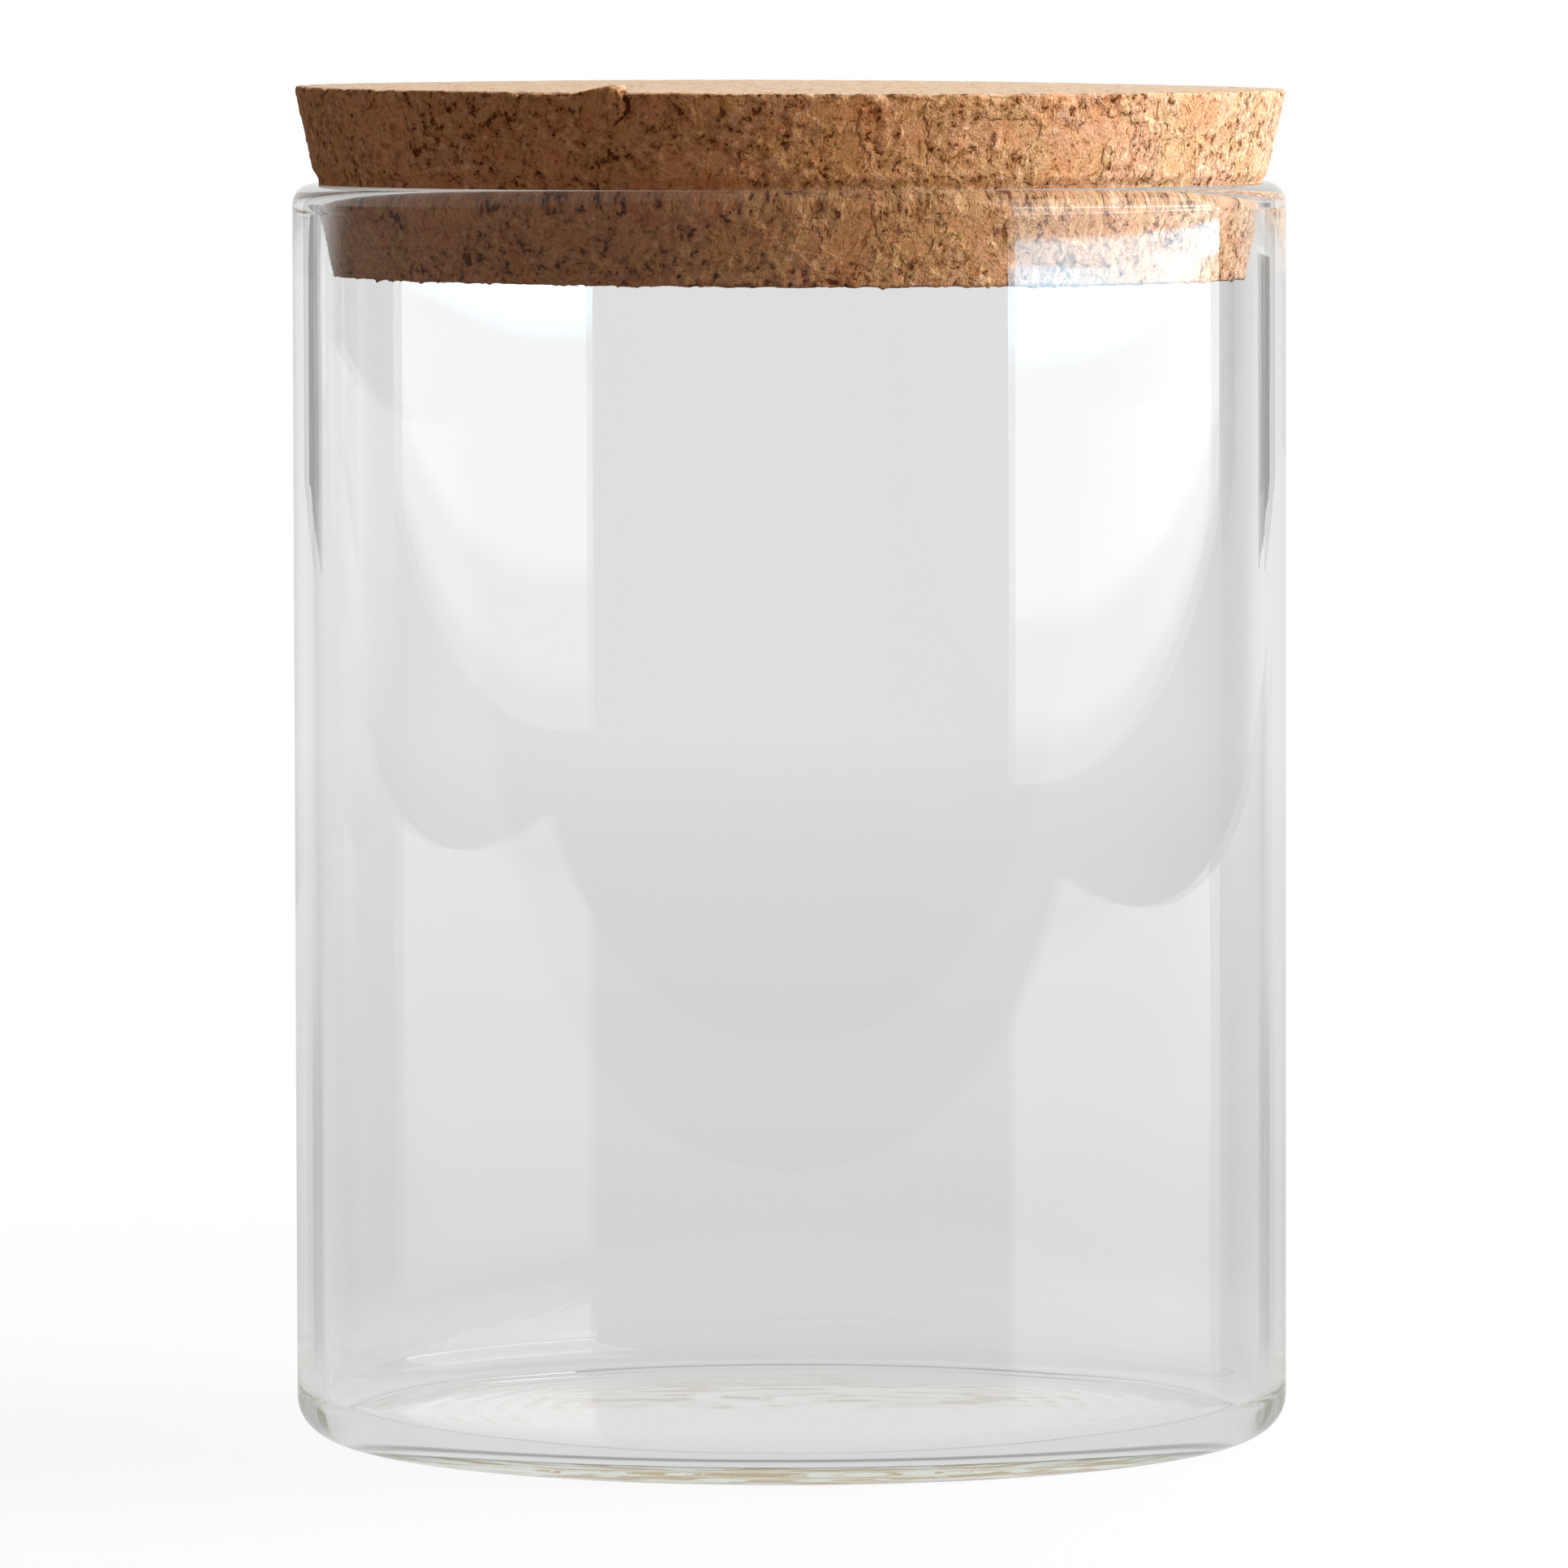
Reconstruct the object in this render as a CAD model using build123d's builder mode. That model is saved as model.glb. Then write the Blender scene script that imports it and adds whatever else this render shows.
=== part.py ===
from build123d import *
from math import radians, tan
import os

os.makedirs("parts", exist_ok=True)

# Glass canister closed by a tapered cork stopper. Units are millimetres.
# Z runs up the axis of the jar, and the origin is the centre of the ring it stands on.

# Jar body
jar_diameter = 100.0
jar_height = 126.5
jar_wall = 1.7
base_corner_radius = 5.0

# Floor of the jar, and the push-up that keeps the middle of the base off the table
floor_thickness = 2.5
floor_corner_radius = 3.0
floor_moat_width = 4.0
floor_rise = 0.6
foot_ring_width = 7.0
push_up_height = 0.7

# Fire-polished lip: the melted edge rolls inwards and ends in a bead inside the mouth
lip_outer_radius = 2.15
lip_inner_radius = 0.35
bead_inset = 0.8
bead_depth = 1.75
bead_runout = 1.6

# Cork stopper, wedged in the mouth by its taper
cork_thickness = 19.5
cork_proud_height = 10.2
cork_taper_angle = 11.2
cork_squeeze = 0.26
cork_clearance = 0.15
pinch_height = 1.6
top_edge_radius = 0.4
bottom_edge_radius = 1.0

# Jar section, worked out from the sizes above
outer_radius = jar_diameter / 2
inner_radius = outer_radius - jar_wall
mouth_radius = inner_radius - bead_inset
crown_radius = mouth_radius + lip_inner_radius
foot_outer_radius = outer_radius - base_corner_radius
foot_inner_radius = foot_outer_radius - foot_ring_width
floor_flat_radius = inner_radius - floor_corner_radius
moat_inner_radius = floor_flat_radius - floor_moat_width
bead_z = jar_height - bead_depth

with BuildPart() as glass_jar:
    with BuildSketch(Plane.XZ):
        with BuildLine():
            # Underside: the push-up falls smoothly to the flat ring that the jar stands on
            Spline((0, push_up_height), (foot_inner_radius, 0), tangents=[(1, 0), (1, 0)])
            Line((foot_inner_radius, 0), (foot_outer_radius, 0))
            # Outside: base corner, straight wall and the rounded shoulder of the lip
            CenterArc((foot_outer_radius, base_corner_radius), base_corner_radius, -90, 90)
            Line((outer_radius, base_corner_radius), (outer_radius, jar_height - lip_outer_radius))
            EllipticalCenterArc(
                (crown_radius, jar_height - lip_outer_radius),
                outer_radius - crown_radius,
                lip_outer_radius,
                start_angle=0,
                arc_size=90,
            )
            # Mouth: over the crown, down the bead and back out to the inner wall
            CenterArc((crown_radius, jar_height - lip_inner_radius), lip_inner_radius, 90, 90)
            Line((mouth_radius, jar_height - lip_inner_radius), (mouth_radius, bead_z))
            Spline(
                (mouth_radius, bead_z),
                (inner_radius, bead_z - bead_runout),
                tangents=[(0, -1), (0, -1)],
            )
            # Inside: wall, floor corner and a floor that rises to the middle
            Line(
                (inner_radius, bead_z - bead_runout),
                (inner_radius, floor_thickness + floor_corner_radius),
            )
            CenterArc(
                (floor_flat_radius, floor_thickness + floor_corner_radius),
                floor_corner_radius,
                0,
                -90,
            )
            Line((floor_flat_radius, floor_thickness), (moat_inner_radius, floor_thickness))
            Spline(
                (moat_inner_radius, floor_thickness),
                (0, floor_thickness + floor_rise),
                tangents=[(-1, 0), (-1, 0)],
            )
            Line((0, floor_thickness + floor_rise), (0, push_up_height))
        make_face()
    revolve(axis=Axis.Z)

# Stopper section: a cone that is a little wider than the mouth where it meets the crown.
# The lip squeezes it to the mouth's own size, and it swells out again just above the rim.
taper = tan(radians(cork_taper_angle))
rim_radius = mouth_radius + cork_squeeze
squeezed_radius = mouth_radius - cork_clearance
cork_top_z = jar_height + cork_proud_height
cork_bottom_z = cork_top_z - cork_thickness
top_radius = rim_radius + cork_proud_height * taper
bottom_radius = rim_radius - (jar_height - cork_bottom_z) * taper
squeeze_start_z = jar_height - (cork_squeeze + cork_clearance) / taper
pinch_end_radius = rim_radius + pinch_height * taper

with BuildPart() as cork_lid:
    with BuildSketch(Plane.XZ):
        with BuildLine():
            Line((0, cork_bottom_z), (bottom_radius, cork_bottom_z))
            Line((bottom_radius, cork_bottom_z), (squeezed_radius, squeeze_start_z))
            Line(
                (squeezed_radius, squeeze_start_z),
                (squeezed_radius, jar_height - lip_inner_radius),
            )
            Spline(
                (squeezed_radius, jar_height - lip_inner_radius),
                (pinch_end_radius, jar_height + pinch_height),
                tangents=[(0, 1), (taper, 1)],
            )
            Line((pinch_end_radius, jar_height + pinch_height), (top_radius, cork_top_z))
            Line((top_radius, cork_top_z), (0, cork_top_z))
            Line((0, cork_top_z), (0, cork_bottom_z))
        make_face()
    revolve(axis=Axis.Z)
    fillet(cork_lid.edges().filter_by(GeomType.CIRCLE).sort_by(Axis.Z)[-1], top_edge_radius)
    fillet(cork_lid.edges().filter_by(GeomType.CIRCLE).sort_by(Axis.Z)[0], bottom_edge_radius)

glass_jar.part.label = "glass_jar"
export_step(glass_jar.part, "parts/glass_jar.step")

cork_lid.part.label = "cork_lid"
export_step(cork_lid.part, "parts/cork_lid.step")
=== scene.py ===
"""Glass storage jar closed by a tapered cork stopper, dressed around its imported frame.

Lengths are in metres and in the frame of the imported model: Z runs up the axis of the jar and
the jar stands on Z = 0. Sizes of the surface finishes are in millimetres where a name says so.
"""

import itertools
import logging
import math
from collections.abc import Callable
from dataclasses import dataclass, field
from enum import Enum

import bpy
import numpy as np
from mathutils import Euler, Matrix, Vector
from mathutils.kdtree import KDTree


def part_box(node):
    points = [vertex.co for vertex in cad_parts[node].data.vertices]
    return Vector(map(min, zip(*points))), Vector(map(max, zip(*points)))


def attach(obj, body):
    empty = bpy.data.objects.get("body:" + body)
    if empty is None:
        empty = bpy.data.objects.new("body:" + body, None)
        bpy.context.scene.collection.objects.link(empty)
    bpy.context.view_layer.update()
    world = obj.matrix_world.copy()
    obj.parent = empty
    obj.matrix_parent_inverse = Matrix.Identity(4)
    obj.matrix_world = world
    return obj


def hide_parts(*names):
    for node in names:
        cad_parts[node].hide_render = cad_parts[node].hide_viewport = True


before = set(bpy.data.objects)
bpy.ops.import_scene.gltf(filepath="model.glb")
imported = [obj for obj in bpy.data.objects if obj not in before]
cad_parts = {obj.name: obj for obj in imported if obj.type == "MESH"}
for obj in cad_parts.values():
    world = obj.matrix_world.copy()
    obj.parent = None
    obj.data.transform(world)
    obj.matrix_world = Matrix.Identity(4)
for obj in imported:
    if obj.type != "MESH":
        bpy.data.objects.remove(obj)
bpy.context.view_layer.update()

LOG = logging.getLogger("glass_jar")
MM = 0.001
TINY = 1e-9
Pair = tuple[float, float]
Range = tuple[float, float]
Triple = tuple[float, float, float]
Colour = tuple[float, float, float]
WHITE = (1.0, 1.0, 1.0)
GREY = (0.5, 0.5, 0.5)
BLACK = (0.0, 0.0, 0.0)


class Body(Enum):
    """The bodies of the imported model."""

    JAR = "jar"
    LID = "lid"


class Slot(Enum):
    """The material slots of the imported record."""

    GLASS = "clear_glass"
    CORK = "granulated_cork"


class Shader(Enum):
    """The shader nodes that the finishes are mixed from."""

    PRINCIPLED = "ShaderNodeBsdfPrincipled"
    DIFFUSE = "ShaderNodeBsdfDiffuse"
    GLOSSY = "ShaderNodeBsdfGlossy"
    CLEAR = "ShaderNodeBsdfTransparent"
    GLOW = "ShaderNodeEmission"
    BODY = "ShaderNodeVolumeAbsorption"


@dataclass(frozen=True)
class Cloud:
    """The look of a noise: how wide its blobs are, its finer layers and their strength."""

    size: float
    detail: float = 2.0
    rough: float = 0.5


class Value:
    """A float socket of a node graph. Arithmetic on it adds the Math nodes it stands for."""

    def __init__(self, graph: "Graph", socket: bpy.types.NodeSocket) -> None:
        """Wraps a socket of a graph."""
        self.graph = graph
        self.socket = socket

    def math(self, operation: str, *terms: "Value | float") -> "Value":
        """Adds a Math node that starts from this value.

        Args:
            operation: The node's operation.
            terms: Its further inputs in order, as numbers or wrapped sockets.

        Returns:
            The node's result, wrapped.
        """
        inputs = dict(enumerate((self, *terms)))
        return self.graph.value("ShaderNodeMath", 0, {"operation": operation}, inputs)

    def __add__(self, other: "Value | float") -> "Value":
        """Adds a number or a socket."""
        return self.math("ADD", other)

    __radd__ = __add__

    def __sub__(self, other: "Value | float") -> "Value":
        """Takes a number or a socket away."""
        return self.math("SUBTRACT", other)

    def __rsub__(self, other: "Value | float") -> "Value":
        """Takes this socket away from a number."""
        return (self * -1.0).math("ADD", other)

    def __mul__(self, other: "Value | float") -> "Value":
        """Multiplies by a number or a socket."""
        return self.math("MULTIPLY", other)

    __rmul__ = __mul__

    def __truediv__(self, other: "Value | float") -> "Value":
        """Divides by a number or a socket."""
        return self.math("DIVIDE", other)

    def __pow__(self, other: "Value | float") -> "Value":
        """Raises to a power."""
        return self.math("POWER", other)

    def over(self, low: float, high: float) -> "Value":
        """Steps smoothly from 0 at low to 1 at high.

        Args:
            low: The value where the step starts.
            high: The value where it ends.

        Returns:
            The step, wrapped.
        """
        return self.graph.value(
            "ShaderNodeMapRange",
            0,
            {"interpolation_type": "SMOOTHSTEP"},
            {"Value": self, "From Min": low, "From Max": high},
        )

    def under(self, low: float, high: float) -> "Value":
        """Steps smoothly from 1 at low to 0 at high."""
        return 1 - self.over(low, high)

    def larger(self, other: "Value | float") -> "Value":
        """Takes the larger of two values."""
        return self.math("MAXIMUM", other)


class Graph:
    """The node tree of one material or of the world, built by method calls."""

    def __init__(self, tree: bpy.types.NodeTree) -> None:
        """Empties a tree.

        Args:
            tree: The node tree to fill.
        """
        self.tree = tree
        tree.nodes.clear()

    def node(
        self, kind: str, settings: dict | None = None, sockets: dict | None = None
    ) -> bpy.types.Node:
        """Adds a node.

        Args:
            kind: The node's type name.
            settings: Its properties, set first. The name stops stands for a ramp's stops.
            sockets: Numbers, colours or links of its inputs, by name or by place.

        Returns:
            The node.
        """
        made = self.tree.nodes.new(kind)
        for name, setting in (settings or {}).items():
            if name == "stops":
                self._fill_ramp(made.color_ramp, setting)
            else:
                setattr(made, name, setting)
        for name, value in (sockets or {}).items():
            self._plug(made.inputs[name], value)
        return made

    def _fill_ramp(self, ramp: bpy.types.ColorRamp, stops: list) -> None:
        """Gives a colour ramp its stops.

        Args:
            ramp: The ramp.
            stops: Pairs of place and colour.
        """
        while len(ramp.elements) < len(stops):
            ramp.elements.new(1.0)
        for element, (place, colour) in zip(ramp.elements, stops):
            element.position = place
            element.color = (*colour, 1.0)

    def _plug(self, socket: bpy.types.NodeSocket, value: object) -> None:
        """Links a socket to another, or sets its own value.

        Args:
            socket: The input socket.
            value: A wrapped or bare output socket, or a number, colour or vector.
        """
        if isinstance(value, Value):
            value = value.socket
        if isinstance(value, bpy.types.NodeSocket):
            self.tree.links.new(value, socket)
        elif socket.type == "RGBA" and len(value) == 3:
            socket.default_value = (*value, 1.0)
        else:
            socket.default_value = value

    def value(
        self,
        kind: str,
        output: str | int,
        settings: dict | None = None,
        sockets: dict | None = None,
    ) -> Value:
        """Adds a node and wraps one of its outputs."""
        return Value(self, self.node(kind, settings, sockets).outputs[output])

    def place(self) -> bpy.types.NodeSocket:
        """Gives the place of a point in its object, in metres."""
        return self.node("ShaderNodeTexCoord").outputs["Object"]

    def attribute(self, name: str) -> Value:
        """Reads a value that the mesh holds at its points."""
        return self.value("ShaderNodeAttribute", "Fac", {"attribute_name": name})

    def vector(self, operation: str, *terms: object) -> bpy.types.NodeSocket:
        """Adds a Vector Math node and returns its vector."""
        node = self.node("ShaderNodeVectorMath", {"operation": operation}, dict(enumerate(terms)))
        return node.outputs[0]

    def scaled(self, vector: bpy.types.NodeSocket, factor: float) -> bpy.types.NodeSocket:
        """Scales a vector."""
        sockets = {0: vector, "Scale": factor}
        return self.node("ShaderNodeVectorMath", {"operation": "SCALE"}, sockets).outputs[0]

    def moved(
        self, vector: bpy.types.NodeSocket, bend: bpy.types.NodeSocket, reach: float
    ) -> bpy.types.NodeSocket:
        """Moves a place along another vector, times a reach."""
        return self.vector("ADD", vector, self.scaled(bend, reach))

    def mix(
        self, share: Value | float, first: object, second: object, blend: str = "MIX"
    ) -> bpy.types.NodeSocket:
        """Mixes two colours.

        Args:
            share: How much of the second colour shows.
            first: The first colour.
            second: The second colour.
            blend: The way of mixing.

        Returns:
            The colour socket.
        """
        node = self.node(
            "ShaderNodeMix",
            {"data_type": "RGBA", "blend_type": blend},
            {0: share, 6: first, 7: second},
        )
        return node.outputs[2]

    def noise(self, vector: bpy.types.NodeSocket, cloud: Cloud) -> Value:
        """Adds a noise texture and wraps its strength."""
        return Value(self, self._cloud(vector, cloud).outputs[0])

    def bend(self, vector: bpy.types.NodeSocket, cloud: Cloud) -> bpy.types.NodeSocket:
        """Adds a noise texture and gives its colour as a vector about zero."""
        return self.vector("SUBTRACT", self._cloud(vector, cloud).outputs[1], GREY)

    def _cloud(self, vector: bpy.types.NodeSocket, cloud: Cloud) -> bpy.types.Node:
        """Adds a noise texture."""
        sockets = {"Scale": 1 / cloud.size, "Detail": cloud.detail, "Roughness": cloud.rough}
        return self.node("ShaderNodeTexNoise", {}, {"Vector": vector, **sockets})

    def split(self, vector: bpy.types.NodeSocket) -> tuple[Value, Value, Value]:
        """Takes a vector or colour apart into its three numbers."""
        node = self.node("ShaderNodeSeparateXYZ", {}, {0: vector})
        return tuple(Value(self, output) for output in node.outputs)

    def join(self, red: Value, green: Value, blue: Value) -> bpy.types.NodeSocket:
        """Makes a colour or vector from three numbers."""
        return self.node("ShaderNodeCombineXYZ", {}, {0: red, 1: green, 2: blue}).outputs[0]

    def ray(self, kind: str) -> Value:
        """Reads an output of the Light Path node."""
        return self.value("ShaderNodeLightPath", kind)

    def any_ray(self, first: str, second: str) -> Value:
        """Says 1 for a ray of either of two kinds, by their Light Path outputs."""
        return self.ray(first).larger(self.ray(second))

    def shader(self, kind: Shader, **sockets: object) -> bpy.types.Node:
        """Adds a shader node, with its sockets by name and _ for a space."""
        named = {name.replace("_", " "): value for name, value in sockets.items()}
        return self.node(kind.value, {}, named)

    def mix_shader(
        self, share: Value, first: bpy.types.Node, second: bpy.types.Node
    ) -> bpy.types.Node:
        """Mixes two shader nodes."""
        sockets = {0: share, 1: first.outputs[0], 2: second.outputs[0]}
        return self.node("ShaderNodeMixShader", {}, sockets)

    def bump(self, height: Value, distance: float, strength: Value | float) -> bpy.types.NodeSocket:
        """Adds a Bump node and returns its normal."""
        sockets = {"Strength": strength, "Distance": distance, "Height": height}
        return self.node("ShaderNodeBump", {}, sockets).outputs[0]

    def output(self, surface: bpy.types.Node, volume: bpy.types.Node | None = None) -> None:
        """Ends the tree in a material's output.

        Args:
            surface: The shader of the surface.
            volume: The shader of the body inside it, if it has one.
        """
        sockets = {"Surface": surface.outputs[0]}
        if volume is not None:
            sockets["Volume"] = volume.outputs[0]
        self.node("ShaderNodeOutputMaterial", {}, sockets)


def new_graph(name: str) -> tuple[bpy.types.Material, Graph]:
    """Makes an empty node material.

    Args:
        name: The material's name.

    Returns:
        The material and its graph.
    """
    material = bpy.data.materials.new(name)
    material.use_nodes = True
    return material, Graph(material.node_tree)


class Outline:
    """Half of a round section, drawn from point to point as (radius, height)."""

    def __init__(self, radius: float, height: float) -> None:
        """Starts the outline at a point."""
        self.points: list[Pair] = [(radius, height)]

    def line(self, radius: float, height: float, steps: int = 1) -> "Outline":
        """Draws a straight run.

        Args:
            radius: The radius of its last point.
            height: The height of its last point.
            steps: How many points it adds, equally spaced.

        Returns:
            The outline.
        """
        start = self.points[-1]
        for step in range(1, steps + 1):
            share = step / steps
            across = start[0] + share * (radius - start[0])
            self.points.append((across, start[1] + share * (height - start[1])))
        return self

    def arc(
        self,
        centre: Pair,
        radii: Pair,
        start: float,
        sweep: float,
        steps: int,
    ) -> "Outline":
        """Draws part of an ellipse.

        Args:
            centre: Its centre as (radius, height).
            radii: Its half widths, outward and upward.
            start: The angle of its first point, which is already drawn, in degrees.
            sweep: The angle it turns through, in degrees.
            steps: How many points it adds.

        Returns:
            The outline.
        """
        for step in range(1, steps + 1):
            angle = math.radians(start + sweep * step / steps)
            across = centre[0] + radii[0] * math.cos(angle)
            self.points.append((across, centre[1] + radii[1] * math.sin(angle)))
        return self

    def ease(self, radius: float, height: float, steps: int, upright: bool) -> "Outline":
        """Draws an S-shaped run.

        Args:
            radius: The radius of its last point.
            height: The height of its last point.
            steps: How many points it adds.
            upright: Whether it leaves and arrives upright. Otherwise it does so level.

        Returns:
            The outline.
        """
        start = self.points[-1]
        for step in range(1, steps + 1):
            share = step / steps
            bend = share * share * (3 - 2 * share)
            out, up = (bend, share) if upright else (share, bend)
            across = start[0] + out * (radius - start[0])
            self.points.append((across, start[1] + up * (height - start[1])))
        return self


@dataclass
class Rings:
    """A round mesh built ring by ring, with a point where it meets the axis."""

    places: list[np.ndarray] = field(default_factory=list)
    normals: list[np.ndarray] = field(default_factory=list)
    faces: list[tuple[int, ...]] = field(default_factory=list)
    counts: list[int] = field(default_factory=list)
    size: int = 0

    def add(self, radius: float, height: float, normal: Pair, count: int) -> None:
        """Adds a ring and joins it to the one before.

        Args:
            radius: The ring's radius, or 0 for a single point.
            height: Its height.
            normal: The surface direction there, outward and upward.
            count: How many points it has: as many as the last ring, half or double.
        """
        count = count if radius > 0 else 1
        angle = np.arange(count) * (2 * math.pi / count)
        side = np.stack([np.cos(angle), np.sin(angle)], axis=1)
        self.places.append(np.column_stack([radius * side, np.full(count, height)]))
        self.normals.append(np.column_stack([normal[0] * side, np.full(count, normal[1])]))
        if self.counts:
            self._join(self.size - self.counts[-1], self.counts[-1], self.size, count)
        self.counts.append(count)
        self.size += count

    def _join(self, low: int, low_count: int, high: int, high_count: int) -> None:
        """Fills the band between two rings.

        Args:
            low: The first point of the earlier ring.
            low_count: How many points that ring has.
            high: The first point of the later ring.
            high_count: How many points that ring has.
        """
        if 1 in (low_count, high_count):
            count = max(low_count, high_count)
            for i in range(count):
                j = (i + 1) % count
                fan = (low, high + j, high + i) if low_count == 1 else (low + i, low + j, high)
                self.faces.append(fan)
        elif low_count == high_count:
            for i in range(low_count):
                j = (i + 1) % low_count
                self.faces.append((low + i, low + j, high + j, high + i))
        elif low_count > high_count:
            for i in range(high_count):
                j = (i + 1) % high_count
                a, b, c = low + 2 * i, low + 2 * i + 1, low + (2 * i + 2) % low_count
                self.faces += [(a, b, high + i), (b, high + j, high + i), (b, c, high + j)]
        else:
            for i in range(low_count):
                j = (i + 1) % low_count
                a, b, c = high + 2 * i, high + 2 * i + 1, high + (2 * i + 2) % high_count
                self.faces += [(low + i, b, a), (low + i, low + j, b), (low + j, c, b)]

    def follow(self, outline: Outline, count_at: Callable[[float, float], int]) -> None:
        """Adds a ring for each point of an outline.

        Args:
            outline: The outline, drawn with the solid on its left.
            count_at: Gives a ring's number of points from its radius and height.
        """
        points = np.array(outline.points)
        steps = np.diff(points, axis=0)
        lengths = np.linalg.norm(steps, axis=1, keepdims=True)
        turned = np.column_stack([steps[:, 1], -steps[:, 0]]) / lengths
        for index, (radius, height) in enumerate(points):
            normal = turned[max(index - 1, 0)] + turned[min(index, len(turned) - 1)]
            normal /= np.linalg.norm(normal)
            self.add(radius, height, tuple(normal), count_at(radius, height))

    def mesh(self, name: str, places: np.ndarray) -> bpy.types.Object:
        """Makes a smooth-shaded object.

        Args:
            name: The object's name.
            places: The final place of each point.

        Returns:
            The object, at the origin.
        """
        data = bpy.data.meshes.new(name)
        data.from_pydata(places.tolist(), [], self.faces)
        data.shade_smooth()
        data.update()
        made = bpy.data.objects.new(name, data)
        bpy.context.scene.collection.objects.link(made)
        return made


class SolidNoise:
    """Smooth random values through space, the same on each run."""

    CORNERS = tuple(itertools.product((0, 1), repeat=3))
    HASH = np.array([73856093, 19349663, 83492791])
    TABLE = 8192
    OCTAVE_SHIFT = 0.37
    AXIS_SHIFT = 31.7

    def __init__(self, seed: int) -> None:
        """Draws the table of random values."""
        self.values = np.random.default_rng(seed).random(self.TABLE)

    def at(self, points: np.ndarray, size: float) -> np.ndarray:
        """Reads the smooth noise.

        Args:
            points: Places, one a row.
            size: The width of a blob.

        Returns:
            A value from 0 to 1 for each place.
        """
        cell = np.asarray(points) / size
        base = np.floor(cell).astype(np.int64)
        share = cell - base
        share = share * share * (3 - 2 * share)
        total = np.zeros(len(cell))
        for corner in self.CORNERS:
            key = ((base + corner) @ self.HASH) % self.TABLE
            total += np.prod(np.where(corner, share, 1 - share), axis=1) * self.values[key]
        return total

    def rough(self, points: np.ndarray, size: float, octaves: int) -> np.ndarray:
        """Adds up finer and finer noise.

        Args:
            points: Places, one a row.
            size: The width of the widest blobs.
            octaves: How many layers there are, each half as wide and as strong as the last.

        Returns:
            A value from -1 to 1 for each place.
        """
        total = np.zeros(len(points))
        weight = 0.5
        for octave in range(octaves):
            moved = points + octave * self.OCTAVE_SHIFT
            total += weight * (2 * self.at(moved, size / 2**octave) - 1)
            weight /= 2
        return total

    def warp(self, points: np.ndarray, size: float, reach: float) -> np.ndarray:
        """Moves places about by up to a reach, in blobs of a size."""
        shift = self.AXIS_SHIFT * size
        away = [self.rough(points + shift * axis, size, 2) for axis in range(1, 4)]
        return points + reach * np.stack(away, axis=1)


def bell(distance: np.ndarray, width: float) -> np.ndarray:
    """Falls from 1 at no distance towards 0 past a width."""
    return np.exp(-((distance / width) ** 2))


def step_up(value: np.ndarray, low: float, high: float) -> np.ndarray:
    """Rises smoothly from 0 at low to 1 at high."""
    share = np.clip((value - low) / (high - low), 0, 1)
    return share * share * (3 - 2 * share)


@dataclass(frozen=True)
class GlassFinish:
    """Clear drawn glass with a faint green body, and patches of painted reflection low in its base.
    """

    ior: float = 1.47
    body_tint: Colour = (0.74, 0.88, 0.60)
    body_density: float = 7.0
    caught_after: float = 3.5
    # Painted reflection in the base: brown like the cork, and olive at the ends.
    cork_reflection: Colour = (0.68, 0.54, 0.38)
    olive: Colour = (0.62, 0.66, 0.44)
    olive_past_mm: Range = (26.0, 36.0)
    reflection_mm: Cloud = Cloud(4.0)
    reflection_stretch: Triple = (0.5, 1.6, 5.0)
    reflection_edge: Range = (0.50, 0.56)
    reflection_top_mm: Range = (5.0, 7.0)
    lamp_share: float = 0.96
    streak_mm: Cloud = Cloud(1.1, 2.0, 0.6)
    streak_stretch: Triple = (1.0, 1.0, 0.012)
    streak_height: float = 2.2e-6

    def material(self) -> bpy.types.Material:
        """Builds the material.

        Returns:
            Glass that bends the view and lets lamps through to what it covers.
        """
        material, graph = new_graph("clear_drawn_glass")
        point = graph.scaled(graph.place(), 1 / MM)
        streaks = graph.noise(graph.vector("MULTIPLY", point, self.streak_stretch), self.streak_mm)
        glass = graph.shader(
            Shader.PRINCIPLED,
            Base_Color=WHITE,
            Roughness=0.0,
            IOR=self.ior,
            Transmission_Weight=1.0,
            Normal=graph.bump(streaks, self.streak_height, 1.0),
        )

        # Light that went round inside the base for long comes out with painted reflection in
        # patches, brown like the cork in the middle and olive at the ends, and the rest goes on.
        clear = graph.shader(Shader.CLEAR, Color=(self.lamp_share,) * 3)
        cork_reflection = graph.shader(Shader.CLEAR, Color=self.cork_reflection)
        olive = graph.shader(Shader.CLEAR, Color=self.olive)
        side, _, height = graph.split(point)
        painted_reflection = graph.mix_shader(side.math("ABSOLUTE").over(*self.olive_past_mm), cork_reflection, olive)
        reflection_blots = graph.noise(graph.vector("MULTIPLY", point, self.reflection_stretch), self.reflection_mm)
        reflection_patches = reflection_blots.over(*self.reflection_edge) * height.under(*self.reflection_top_mm)
        caught = graph.ray("Glossy Depth").math("GREATER_THAN", self.caught_after)
        # Painted reflection: brown and olive patches on the light caught low in the base.
        through = graph.mix_shader(caught * reflection_patches, clear, painted_reflection)

        lamp_ray = graph.any_ray("Is Shadow Ray", "Is Diffuse Ray")
        surface = graph.mix_shader(lamp_ray.larger(caught), glass, through)
        body = graph.shader(Shader.BODY, Color=self.body_tint, Density=self.body_density)
        graph.output(surface, body)
        return material


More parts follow.
